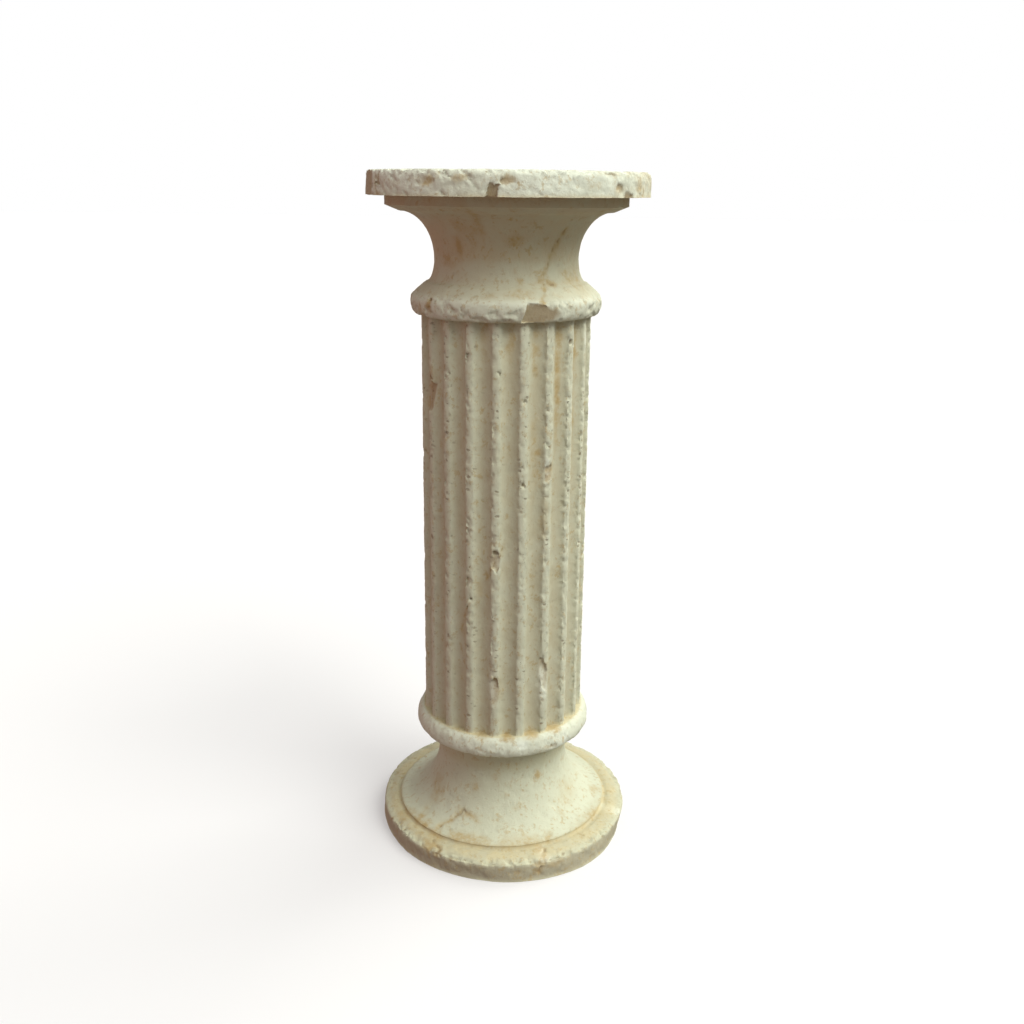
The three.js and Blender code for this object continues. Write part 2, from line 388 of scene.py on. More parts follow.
strokes = [
    ("underside", line(AXIS_GAP, 0, FOOT_RADIUS, 0, coarse=6), 0),
    ("foot side", line(FOOT_RADIUS, 0, side_top, FOOT_SIDE_HEIGHT), 0),
    ("foot edge", arc(ledge_start, FOOT_SIDE_HEIGHT, FOOT_EDGE_WIDTH, FOOT_EDGE_HEIGHT, 0, 90), 0),
    ("ledge", line(ledge_start, ledge_z, GROOVE_RADIUS, groove_z), 0),
    ("groove", line(GROOVE_RADIUS, groove_z, groove_foot, flare_z), 0),
    ("flare", hollow(groove_foot, flare_z, LOWER_NECK_RADIUS, neck_z, False), 0),
    ("lower neck", line(LOWER_NECK_RADIUS, neck_z, LOWER_NECK_RADIUS, torus_low_z), 0),
    ("torus under", line(LOWER_NECK_RADIUS, torus_low_z, torus_middle, torus_foot_z), 0),
    ("torus", arc(torus_middle, torus_z, TORUS_BULGE, TORUS_UNDER, -90, 0), 0),
    ("torus", arc(torus_middle, torus_z, TORUS_BULGE, TORUS_OVER, 0, 90), 0),
    ("seat", line(torus_middle, shaft_foot_z, SHAFT_FOOT_RADIUS, seat_z, coarse=0.05), (0, 1)),
    ("shaft", line(SHAFT_FOOT_RADIUS, seat_z, SHAFT_HEAD_RADIUS, shaft_head_z), 1),
    ("ring under", line(SHAFT_HEAD_RADIUS, shaft_head_z, head_radius, head_z, coarse=0.1), (1, 0)),
    ("ring under", line(head_radius, head_z, *ring_low[0]), 0),
    ("ring", ring_low, 0),
    ("ring", ring_high, 0),
    ("shoulder", line(*ring_high[-1], SHOULDER_RADIUS, shoulder_z), 0),
    ("upper neck", hollow(SHOULDER_RADIUS, shoulder_z, UPPER_NECK_RADIUS, upper_neck_z, False), 0),
    ("cavetto", hollow(UPPER_NECK_RADIUS, upper_neck_z, CAVETTO_RADIUS, cavetto_z, True), 0),
    ("cavetto", line(CAVETTO_RADIUS, cavetto_z, FILLET_RADIUS, fillet_z), 0),
    ("fillet", line(FILLET_RADIUS, fillet_z, FILLET_RADIUS, slab_z), 0),
    ("slab under", line(FILLET_RADIUS, slab_z, SLAB_RADIUS, slab_z), 0),
    ("slab side", line(SLAB_RADIUS, slab_z, SLAB_RADIUS, top_z - SLAB_EDGE_HEIGHT), 0),
    ("slab edge", arc(slab_crown, top_z - SLAB_EDGE_HEIGHT, SLAB_EDGE_WIDTH, SLAB_EDGE_HEIGHT, 0, 90), 0),
    ("slab top", line(slab_crown, top_z, AXIS_GAP, top_z, coarse=1.6), 0),
]


def join_strokes(strokes):
    """Runs the strokes together, dropping each one's first point where the last stroke ended."""
    points, zones, shares = [], [], []
    for number, (zone, stroke, share) in enumerate(strokes):
        start, stop = share if isinstance(share, tuple) else (share, share)
        shares_here = np.linspace(start, stop, len(stroke))
        first = 0 if number == 0 else 1
        points.append(stroke[first:])
        zones += [zone] * (len(stroke) - first)
        shares.append(shares_here[first:])
    return np.concatenate(points), np.array(zones), np.concatenate(shares)


profile, zone_of_row, flute_share = join_strokes(strokes)
row_count = len(profile)
print("rows:", row_count)

# %% [markdown]
# ## Noise
# Weather works at many sizes at once. Smooth random noise is made here from a small cube of random
# numbers, read between its corners, and several sizes are added up. Pits come from a second kind:
# space is cut in cells, each cell holds one ball of random place and size, and a point inside a ball is in
# a pit. Both work on points in space, so they have no seam and no pinch at the axis.

# %% Noise
TABLE = 32
TABLE_OFFSET = 100.0


def lattice(points, size, seed):
    """Random numbers on a grid of the given size, blended between corners, from -1 to 1."""
    table = np.random.default_rng(seed).random((TABLE, TABLE, TABLE)).astype(np.float32)
    at = points / size + TABLE_OFFSET
    corner = np.floor(at)
    f = (at - corner).astype(np.float32)
    f = f * f * f * (f * (f * 6 - 15) + 10)
    low = corner.astype(np.int32) % TABLE
    high = (low + 1) % TABLE
    x0, y0, z0 = np.moveaxis(low, -1, 0)
    x1, y1, z1 = np.moveaxis(high, -1, 0)
    fx, fy, fz = np.moveaxis(f, -1, 0)
    near = table[x0, y0, z0] * (1 - fx) + table[x1, y0, z0] * fx
    far = table[x0, y1, z0] * (1 - fx) + table[x1, y1, z0] * fx
    below = near * (1 - fy) + far * fy
    near = table[x0, y0, z1] * (1 - fx) + table[x1, y0, z1] * fx
    far = table[x0, y1, z1] * (1 - fx) + table[x1, y1, z1] * fx
    above = near * (1 - fy) + far * fy
    return (below * (1 - fz) + above * fz) * 2 - 1


def layered(points, size, seed, layers=3, fade=0.5):
    """Noise at halving sizes, each layer fade times as strong as the last, scaled back to -1 to 1."""
    total, strength, whole = 0.0, 1.0, 0.0
    for layer in range(layers):
        total = total + strength * lattice(points, size / 2**layer, seed + layer)
        whole += strength
        strength *= fade
    return total / whole


def shaken(points, size, reach, seed):
    """Points moved by up to a reach in each direction, by noise of a size."""
    pushes = [layered(points, size, seed + 10 * k, layers=2) for k in range(3)]
    return points + reach * np.stack(pushes, axis=-1)


def pits(points, size, chance, seed, least=0.16, most=0.5):
    """How deep each point is in a ball of a random cell: 0 outside, 1 at the ball's centre."""
    tables = np.random.default_rng(seed).random((5, TABLE, TABLE, TABLE)).astype(np.float32)
    at = (points / size + TABLE_OFFSET).astype(np.float32)
    home = np.floor(at).astype(np.int32)
    deepest = np.zeros(points.shape[:-1], np.float32)
    for step in np.ndindex(3, 3, 3):
        cell = home + np.array(step) - 1
        key = tuple(np.moveaxis(cell % TABLE, -1, 0))
        centre = cell + 0.2 + 0.6 * np.stack([tables[0][key], tables[1][key], tables[2][key]], axis=-1)
        radius = np.where(tables[3][key] < chance, least + (most - least) * tables[4][key] ** 2, 1e-6)
        away = np.linalg.norm(at - centre, axis=-1) / radius
        deepest = np.maximum(deepest, 1 - away)
    return deepest


def ramp(value, low, high):
    """0 below low, 1 above high, and a smooth S between them."""
    share = np.clip((value - low) / (high - low), 0.0, 1.0)
    return share * share * (3 - 2 * share)


print("noise cube:", TABLE)

# %% [markdown]
# ## The carved form
# Every row of the profile is carried round the axis. In the shaft the radius is cut back by the flute's
# depth, a hollow between two ribs whose tops are a little domed. Each rib is steep on its left and runs
# out softly on its right. The ribs' edges wander, because they were cut by hand and have crumbled, so
# the azimuth is nudged by noise before the flute is worked out.

# %% The carved form
COLUMNS = 900
RIB_WANDER = 1.5
RIB_DOME = 1.1
STEEP_LEFT = 0.5
SOFT_RIGHT = 0.8
azimuth = np.arange(COLUMNS) * (2 * np.pi / COLUMNS) - np.pi
pitch = 2 * np.pi / FLUTES
half_rib = RIB_WIDTH / SHAFT_FOOT_RADIUS / 2

radius_row = profile[:, 0][:, None]
height_row = profile[:, 1][:, None]
azimuth_grid = np.broadcast_to(azimuth, (row_count, COLUMNS))


def place(radius, height, angle):
    """A point at a radius, height and azimuth, where azimuth 0 is the front and 90 degrees is +X."""
    return np.stack(np.broadcast_arrays(radius * np.sin(angle), -radius * np.cos(angle), height), axis=-1)


def from_rib(angle):
    """The angle from the middle of the nearest rib, below 0 on its left."""
    across = (angle - np.radians(FIRST_RIB_AZIMUTH)) / pitch
    return (across - np.round(across)) * pitch


def flute_cut(away):
    """The depth, 0 on a rib and 1 on the flute's floor: (1 - share^2)^power, share 1 at the rib's edge."""
    share = np.clip((pitch / 2 - np.abs(away)) / (pitch / 2 - half_rib), 0.0, 1.0)
    power = np.where(away < 0, STEEP_LEFT, SOFT_RIGHT)
    return (1 - share**2) ** power * (np.abs(away) > half_rib)


raw = place(radius_row, height_row, azimuth_grid)
ragged = layered(raw * [1, 1, 0.8], 7.0, 11) * 0.6 + layered(raw, 55.0, 12, layers=2) * 0.4
away = from_rib(azimuth_grid + ragged * RIB_WANDER / SHAFT_FOOT_RADIUS)
cut = flute_cut(away) * flute_share[:, None]
dome = RIB_DOME * np.clip(np.abs(away) / half_rib, 0.0, 1.0) ** 2 * flute_share[:, None]
smooth_form = place(radius_row - np.maximum(FLUTE_DEPTH * cut, dome), height_row, azimuth_grid)


def normals_of(points):
    """The outward direction at each grid point: the cross product of the steps round and along."""
    round_step = np.roll(points, -1, axis=1) - np.roll(points, 1, axis=1)
    along_step = np.gradient(points, axis=0)
    out = np.cross(round_step, along_step)
    return out / np.maximum(np.linalg.norm(out, axis=-1, keepdims=True), 1e-9)


outward = normals_of(smooth_form)
print("grid:", smooth_form.shape)

# %% [markdown]
# ## Weather
# Each zone gets its own weather, in millimetres: how deep and how wide its lumps are, how rough its grain
# is, and how deep its pits and its flakes are. Two more numbers say how pale or, below 0, how dusty its
# skin is, and how tan. The paler slab partly stands for the stronger light near the top, the foot's side
# is painted darker, the dust in the groove is partly painted shade of its step, and the tan there and
# under the mouldings is partly painted warm shade. Wear only takes stone away, so every term is a cut
# inwards and the form can't grow out of its box. The table is written as a craftsman would note it, zone
# by zone.

# %% Weather by zone
WEATHER = {
    # zone: (lump depth, lump width, grain depth, pit depth, flake depth, pale and painted light, tan and
    # painted shade)
    "underside": (0.0, 20.0, 0.0, 0.0, 0.0, 0.0, 0.2),
    "foot side": (1.0, 18.0, 0.5, 0.5, 0.9, -0.5, 0.2),
    "foot edge": (2.4, 10.0, 0.8, 0.9, 2.2, 0.0, 0.1),
    "ledge": (0.9, 14.0, 0.3, 0.5, 0.6, -0.15, 0.5),
    "groove": (1.2, 8.0, 0.5, 0.5, 0.3, -0.5, 0.7),
    "flare": (0.7, 22.0, 0.2, 0.4, 0.5, 0.2, 0.0),
    "lower neck": (0.6, 20.0, 0.2, 0.3, 0.3, 0.0, 0.15),
    "torus under": (0.8, 14.0, 0.2, 0.4, 0.4, 0.0, 0.3),
    "torus": (1.2, 18.0, 0.3, 0.4, 0.9, 0.6, 0.0),
    "seat": (0.6, 8.0, 0.3, 0.4, 0.2, 0.2, 0.7),
    "shaft": (0.6, 26.0, 0.2, 0.3, 0.3, 0.3, 0.1),
    "ring under": (0.7, 14.0, 0.4, 0.3, 0.6, -0.2, 0.3),
    "ring": (1.8, 12.0, 0.7, 0.7, 2.0, 0.6, 0.05),
    "shoulder": (0.8, 18.0, 0.3, 0.4, 0.5, 0.25, 0.2),
    "upper neck": (0.5, 20.0, 0.2, 0.3, 0.4, 0.2, 0.25),
    "cavetto": (0.4, 24.0, 0.2, 0.2, 0.3, 0.0, 0.6),
    "fillet": (0.4, 18.0, 0.3, 0.3, 0.5, 0.0, 0.7),
    "slab under": (0.5, 18.0, 0.2, 0.2, 0.3, 0.0, 1.0),
    "slab side": (0.7, 16.0, 0.5, 0.5, 0.8, 0.9, 0.0),
    "slab edge": (1.2, 12.0, 0.9, 0.7, 1.8, 0.9, 0.0),
    "slab top": (0.7, 18.0, 0.4, 0.6, 0.8, 0.6, 0.0),
}
BLEND_ROWS = 5
by_zone = np.array([WEATHER[zone] for zone in zone_of_row], np.float32)
kernel = np.ones(BLEND_ROWS) / BLEND_ROWS
padded = np.pad(by_zone, ((BLEND_ROWS // 2,) * 2, (0, 0)), mode="edge")
by_zone = np.stack([np.convolve(column, kernel, mode="valid") for column in padded.T], axis=1)
lump_depth, lump_width, grain_depth, pit_depth, flake_depth, pale_and_lit, tan_and_shade = by_zone.T[:, :, None]
print("zones:", len(WEATHER), "table for the rows:", by_zone.shape)

# %% [markdown]
# ## Lumps, grain, pits and flakes
# A worn skin has low lumps, a sandy grain, pits where soft spots have fallen out, and flakes that leave
# flat hollows with sharp rims. Each comes from noise of its own size, cut to its zone's depth. A Displace
# modifier could do this too, but kept as arrays the same cuts can colour the stone later.

# %% Lumps, grain, pits and flakes
lumps =0.5 + 0.5 * layered(smooth_form, 10.0, 21, layers=3, fade=0.6)
broad = 0.5 + 0.5 * layered(smooth_form, 24.0, 31, layers=2)
is_broad = ramp(lump_width, 11.0, 20.0)
lump_cut = lump_depth * (lumps * (1 - is_broad) + broad * is_broad)
grain_cut = grain_depth * (0.5 + 0.5 * layered(smooth_form, 3.6, 41, layers=2))
loose = shaken(smooth_form, 5.0, 2.4, 400)
wide_pits = ramp(pits(loose, 18.0, 0.16, 61, most=0.4), 0.0, 0.7)
pit_shape = np.maximum(ramp(pits(loose, 8.0, 0.3, 51), 0.0, 0.6), wide_pits)
pit_cut = pit_depth * pit_shape
flake_noise = layered(smooth_form * [1, 1, 1.3], 15.0, 301, layers=4, fade=0.7)
flakes = 0.6 * ramp(flake_noise, 0.02, 0.12) + 0.4 * ramp(flake_noise, 0.2, 0.3)
flake_cut = flake_depth * flakes
print("pits made on", int((pit_shape > 0.3).sum()), "grid points, flakes on", int((flakes > 0.3).sum()))

# %% [markdown]
# ## The ribs
# A rib's narrow top takes every knock, so it is chipped and pitted all the way up, most on its left
# edge and some ribs more than others. The crest mask is 1 on a rib and falls to 0 down the flute's side.

# %% The ribs
CRUMB_DEPTH = 3.0
RIB_PIT_DEPTH = 1.6
crest = (1 - ramp(cut, 0.15, 0.75)) * ramp(flute_share, 0.5, 1.0)[:, None]
battered = 0.55 + 0.45 * layered(smooth_form * [1, 1, 0.4], 45.0, 71, layers=2)
rib_left = 1 - ramp(away / half_rib, -0.9, 0.6)
crumbs = ramp(layered(smooth_form, 9.0, 81, layers=3, fade=0.7), 0.02, 0.3)
rib_pits = ramp(pits(loose * [0.8, 0.8, 1.3], 8.0, 0.3, 91), 0.0, 0.5)
rib_cut = crest * battered * (0.3 + 0.7 * rib_left) * (CRUMB_DEPTH * crumbs + RIB_PIT_DEPTH * rib_pits)
print("deepest rib wear in mm:", round(float(rib_cut.max()), 1))

# %% [markdown]
# ## Diagonal tooling on the slab
# The slab's rim is scored by slanting gouges, from the upper left to the lower right, deepest at the
# left. Noise that is stretched along a slant gives them: it is read on axes turned in the plane of the
# front, unrolled along the rim.

# %% Slanting gouges
SLANT = np.radians(-30.0)
GOUGE_WIDTH = 3.2
GOUGE_STRETCH = 3.4
GOUGE_DEPTH = 1.7
unrolled = radius_row * azimuth_grid
along = unrolled * np.cos(SLANT) + smooth_form[..., 2] * np.sin(SLANT)
athwart = -unrolled * np.sin(SLANT) + smooth_form[..., 2] * np.cos(SLANT)
slanted = np.stack([along / GOUGE_STRETCH, athwart, 0 * along], axis=-1)
on_slab = np.isin(zone_of_row, ["slab side", "slab edge"])[:, None]
fades_right = 0.35 + 0.65 * (1 - ramp(azimuth_grid, -0.4, 0.5))
gouge_lines = ramp(layered(slanted, GOUGE_WIDTH, 101, layers=2), 0.1, 0.5)
gouge_cut = np.where(on_slab, GOUGE_DEPTH * gouge_lines * ramp(lumps, 0.3, 0.7) * fades_right, 0.0)
print("deepest gouge in mm:", round(float(gouge_cut.max()), 1))

# %% [markdown]
# ## Taking the stone away
# The cuts are added up and each point moves inwards against the surface's own direction. The foot has
# also been worn unevenly by standing, most at its left and along its lower edge at the right, where the
# side leans in under the rim. The two tables give that wear in millimetres by azimuth. The cut line
# round the foot has been worn a little deeper.

# %% Cut the weather in
LOW_WEAR = [
    # azimuth in degrees, wear at the floor in mm
    (-180, 2), (-120, 4), (-88, 9), (-75, 11), (-60, 11), (-48, 9), (-34, 8), (-16, 6), (0, 3),
    (20, 1), (37, 0), (49, 2), (59, 5), (75, 9), (88, 7), (110, 3), (140, 3), (180, 2),
]
RIM_WEAR = [
    # azimuth in degrees, wear under the rim in mm
    (-180, 0), (-130, 1), (-88, 8), (-60, 9), (-30, 4), (0, 1), (60, 1), (90, 2), (130, 0), (180, 0),
]
WORN_LINE_DEPTH = 1.9
WORN_LINE_WIDTH = 3.6

from_line = (radius_row - GROOVE_RADIUS) / WORN_LINE_WIDTH
groove_line = WORN_LINE_DEPTH * np.exp(-(from_line**2)) * (height_row < flare_z + 2)
wear = lump_cut + grain_cut + pit_cut + flake_cut + rib_cut + gouge_cut + groove_line
form = smooth_form - outward * wear[..., None]

low_take = np.interp(np.degrees(azimuth), *np.array(LOW_WEAR, float).T)
rim_take = np.interp(np.degrees(azimuth), *np.array(RIM_WEAR, float).T)
at_rim = np.clip(smooth_form[..., 2] / FOOT_SIDE_HEIGHT, 0.0, 1.0)
in_foot = ramp(radius_row, 150.0, 178.0) * (height_row < groove_z)
foot_take = (low_take * (1 - at_rim) + rim_take * at_rim) * in_foot
form = form - place(1.0, 0.0, azimuth_grid) * foot_take[..., None]
print("deepest wear in mm:", round(float(wear.max()), 1))

# %% [markdown]
# ## Breaks
# Where a lump has been knocked off, the stone parted on a nearly flat face. Each break is a plane that
# looks outward at an azimuth, at a depth under the stone's radius there, inside a window. Points that
# stand proud of it are laid back on it. Lean tips the plane back at the top, so a break can be deep at
# a step and run out at its other end. The window's edge is ragged, and the face is rough.

# %% How a lump is knocked off
RAGGED_ACROSS = 4.0
RAGGED_UPRIGHT = 5.0
FACE_ROUGHNESS = 0.7


def knock_off(form, broken, facing, radius, depth, height, width, tall, lean, roll, side):
    """Lays points in a window back on a plane: point - (point - centre) . normal * normal."""
    turned, tipped, rolled = np.radians([facing, lean, roll])
    flat = place(1.0, 0.0, turned)
    normal = flat * np.cos(tipped) + np.array([0.0, 0.0, np.sin(tipped)])
    sideways = np.array([np.cos(turned), np.sin(turned), 0.0])
    upward = np.cross(normal, sideways)
    right = sideways * np.cos(rolled) - upward * np.sin(rolled)
    up = sideways * np.sin(rolled) + upward * np.cos(rolled)
    centre = flat * (radius - depth) + np.array([0.0, 0.0, height]) + right * side * width / 2
    near = np.linalg.norm(form - centre, axis=-1) < width + tall
    points = form[near]
    offset = points - centre
    rough = layered(points, 7.0, 111, layers=3, fade=0.6)
    across = np.abs(offset @ right + RAGGED_ACROSS * rough) - width / 2
    upright = np.abs(offset @ up + RAGGED_UPRIGHT * layered(points, 8.0, 121, layers=3)) - tall / 2
    inside = 1 - ramp(np.maximum(across, upright), -0.9, 0.3)
    proud = np.maximum(offset @ normal + FACE_ROUGHNESS * (rough + 1), 0.0) * inside
    form[near] = points - proud[:, None] * normal
    broken[near] = np.maximum(broken[near], ramp(proud, 0.5, 2.0))


print("a break's edges wander by up to", RAGGED_UPRIGHT, "mm")

# %% [markdown]
# ## Where it is broken
# The large breaks are the ones that the solid has too: on the ring right of the middle, on the slab's lower
# edge and left end, on the ribs and round the foot. Scars are breaks so shallow that they only roughen
# the skin. The back has a few of its own, because nothing that has stood about for long is whole behind.

# %% Breaks


def on_shaft(rib, share, depth, width, tall, lean=0, roll=0):
    """A break on the shaft: the rib it strikes, counted to the right, and its share of the height."""
    spot = FIRST_RIB_AZIMUTH + 360 / FLUTES * rib
    radius = SHAFT_FOOT_RADIUS + (SHAFT_HEAD_RADIUS - SHAFT_FOOT_RADIUS) * share
    return spot, radius, depth, shaft_foot_z + SHAFT_LENGTH * share, width, tall, lean, roll, 0


BREAKS = [
    # azimuth, radius, depth, height, width, tall, lean, roll, side
    (15, RING_RADIUS, 6.5, ring_z - 4, 60, 28, -14, 16, 0.7),
    (-46, RING_RADIUS, 3.0, ring_top_z, 12, 12, 0, 20, 0),
    (-6, SLAB_RADIUS, 6.0, slab_z, 13, 34, -16, 14, 0),
    (-78, SLAB_RADIUS, 8.0, top_z, 120, 76, 3, 0, 0),
    (52, SLAB_RADIUS, 3.0, slab_z, 20, 16, -14, 0, 0),
    on_shaft(-3.2, 0.82, 4.5, 34, 42, lean=9),
    on_shaft(2, 0.66, 3.0, 18, 16, lean=6, roll=-20),
    on_shaft(2, 0.15, 3.0, 20, 48, lean=4, roll=-28),
    on_shaft(0, 0.12, 3.0, 16, 34, lean=6, roll=-8),
    on_shaft(0, 0.45, 3.0, 16, 18, roll=30),
    on_shaft(8, 0.59, 4.0, 22, 34, roll=8),
    on_shaft(-8, 0.28, 4.0, 20, 26, roll=-10),
    (-42, FOOT_RADIUS, 9.0, ledge_z, 20, 18, 18, 0, 0),
    (17, FOOT_RADIUS, 8.0, ledge_z, 16, 16, 20, 0, 0),
    (150, FOOT_RADIUS, 8.0, ledge_z, 30, 18, 20, 0, 0),
]
SCARS = [
    # azimuth, radius, depth, height, width, tall, lean, roll, side
    (0, SLAB_RADIUS, 1.6, top_z - 11, 15, 9, 0, -20, 0),
    (-30, SLAB_RADIUS, 1.4, top_z - 13, 18, 9, 0, 10, 0),
    (46, SLAB_RADIUS, 2.0, top_z - 20, 13, 9, 0, 25, 0),
    (-57, SLAB_RADIUS, 2.2, top_z - 12, 8, 16, 0, 10, 0),
    (165, SLAB_RADIUS, 2.2, top_z - 16, 15, 12, 0, 20, 0),
    (100, RING_RADIUS, 2.2, ring_z + 1, 16, 11, 0, 10, 0),
    (-120, RING_RADIUS, 2.2, ring_z - 2, 13, 10, 0, -15, 0),
    (24, FOOT_RADIUS, 3.0, ledge_z - 3, 16, 12, 10, 0, 0),
    (-30, FOOT_RADIUS, 9.0, ledge_z - 2, 16, 10, 10, 0, 0),
    (35, TORUS_RADIUS, 1.8, torus_z, 12, 8, 0, 30, 0),
]
broken = np.zeros(form.shape[:2], np.float32)
for row in BREAKS + SCARS:
    knock_off(form, broken, *row)
print("breaks:", len(BREAKS), "scars:", len(SCARS), "on", int((broken > 0.5).sum()), "grid points")

# %% [markdown]
# ## Bites
# Small lumps have dropped out of the ribs and edges where a knock found a soft spot. Each is a ball taken
# out of the stone. Cutting real balls with booleans would give hard rings, so the points inside the
# ball are pushed in instead, and noise makes its reach uneven. The mask keeps where dirt will gather.

# %% Bites
BITES = [
    # azimuth, radius from the axis, height, ball radius
    (29.5, 110.0, 538.0, 7.0), (24.5, 106.0, 565.0, 4.5), (12.0, 110.5, 526.0, 5.5),
    (-5.5, 110.5, 438.0, 6.0), (-7.5, 109.0, 424.0, 4.5), (-17.5, 110.0, 386.0, 4.5),
    (-21.5, 111.0, 371.0, 5.0), (-38.5, 110.5, 307.0, 4.5), (-4.0, 111.5, 261.0, 5.5),
    (-40.0, 109.5, 662.0, 3.6), (-38.5, 109.5, 610.0, 3.4), (-3.5, 109.5, 667.0, 4.0),
    (13.0, 110.0, 631.0, 4.2), (31.0, 110.0, 641.0, 3.8), (47.0, 110.0, 700.0, 6.0),
    (-63.0, 177.0, 881.0, 4.5), (-50.0, 121.0, 752.0, 5.0),
]


def bite(form, facing, radius, height, ball):
    """Pushes points in a ball inwards, about as far as its far side: sqrt(reach^2 - away^2)."""
    inward = -place(1.0, 0.0, np.radians(facing))
    centre = place(radius + ball * 0.45, height, np.radians(facing))
    near = np.linalg.norm(form - centre, axis=-1) < ball * 1.4
    offset = form[near] - centre
    away = np.linalg.norm(offset, axis=-1)
    reach = ball * (1 + 0.35 * layered(form[near], ball * 0.8, 131, layers=2))
    take = np.sqrt(np.maximum(reach**2 - away**2, 0.0))
    push = np.clip(take - 0.25 * np.clip(offset @ inward, 0.0, None), 0.0, ball * 0.7)
    form[near] = form[near] + inward * push[:, None]
    return near, push


pitted = np.maximum(ramp(pit_cut, 0.3, 1.0), ramp(rib_pits * crest * battered, 0.2, 0.7)).astype(np.float32)
pitted = np.maximum(pitted, 0.3 * ramp(flake_cut + gouge_cut, 0.4, 1.6))
for row in BITES:
    near, push = bite(form, *row)
    pitted[near] = np.maximum(pitted[near], ramp(push, 0.6, 3.5))
print("bites:", len(BITES), "and pits on", int((pitted > 0.5).sum()), "grid points")

# %% [markdown]
# ## Cracks
# Cracks run over the foot, up the neck and across some flutes. Each is a thin line cut between corners on
# the surface, and a point's distance to it is the distance to the nearest of its stretches. Noise bends
# the line, and makes it fainter where dust has filled it. Iron has left rust along both of its sides.

# %% Cracks
CRACKS = [
    # width, depth, then azimuth, radius and height of each corner
    (2.2, 1.8, [(-26, 112, 52), (-29, 109, 55), (-34, 122, 44), (-39, 135, 38), (-36, 150, 35), (-36, 158, 30),
                (-30, 168, 28), (-30, 178, 22)]),
    (1.8, 1.0, [(-29, 109, 55), (-22, 113, 52), (-16, 116, 49)]),
    (2.2, 2.0, [(28, 137, 37), (24, 151, 33), (21, 161, 29), (18, 178, 23), (16, 181, 12)]),
    (1.5, 0.8, [(44, 102, 836), (39, 94, 818), (34, 91, 795), (27, 92, 779), (24, 96, 772)]),
    (1.5, 0.8, [(35, 97, 770), (29, 96, 771), (25, 106, 764), (22, 120, 751)]),
    (1.3, 1.4, [(36, 175, 881), (34, 175, 884), (31, 175, 881)]),
    (0.9, 1.2, [(36, 175, 895), (41, 175, 896), (47, 174, 892)]),
    (1.2, 1.4, [(-57, 175, 896), (-60, 175, 886), (-58, 175, 871)]),
    (0.9, 0.6, [(0, 105, 445), (-6, 110, 424), (-12, 103, 402), (-17, 107, 388), (-21, 110, 371)]),
    (4.5, 1.2, [(-60, 110, 654), (-65, 106, 645), (-67, 104, 628), (-69, 105, 612)]),
    (1.3, 1.0, [(19, 180, 22), (24, 181, 16), (27, 181, 20)]),
    (0.9, 0.6, [(-23, 110, 366), (-28, 103, 345), (-34, 103, 318), (-39, 110, 300)]),
]


def distance_to_line(points, corners):
    """The distance from each point to the nearest of the straight stretches between corners."""
    nearest = np.full(points.shape[:-1], 1e9)
    for start, stop in zip(corners[:-1], corners[1:]):
        stretch = stop - start
        share = np.clip((points - start) @ stretch / (stretch @ stretch), 0.0, 1.0)
        nearest = np.minimum(nearest, np.linalg.norm(points - start - share[..., None] * stretch, axis=-1))
    return nearest


rust =np.zeros(form.shape[:2], np.float32)
for width, depth, route in CRACKS:
    corners = np.array([place(r, z, np.radians(a)) for a, r, z in route])
    middle, reach = corners.mean(axis=0), np.ptp(corners, axis=0).max() + 12
    near = np.linalg.norm(form - middle, axis=-1) < reach
    gap = distance_to_line(shaken(form[near], 7.0, 3.6, 141), corners)
    healed = ramp(layered(form[near], 12.0, 151, layers=2), -0.3, 0.2)
    share = (1 - ramp(gap, 0.2 * width, 1.7 * width)) * (0.35 + 0.65 * healed)
    form[near] = form[near] - outward[near] * (depth * share)[:, None]
    pitted[near] = np.maximum(pitted[near], 0.75 * share)
    rust[near] = np.maximum(rust[near], 1 - ramp(gap, 0.5 * width, 3.5 * width))
print("cracks:", len(CRACKS), "with rust on", int((rust > 0.5).sum()), "grid points")
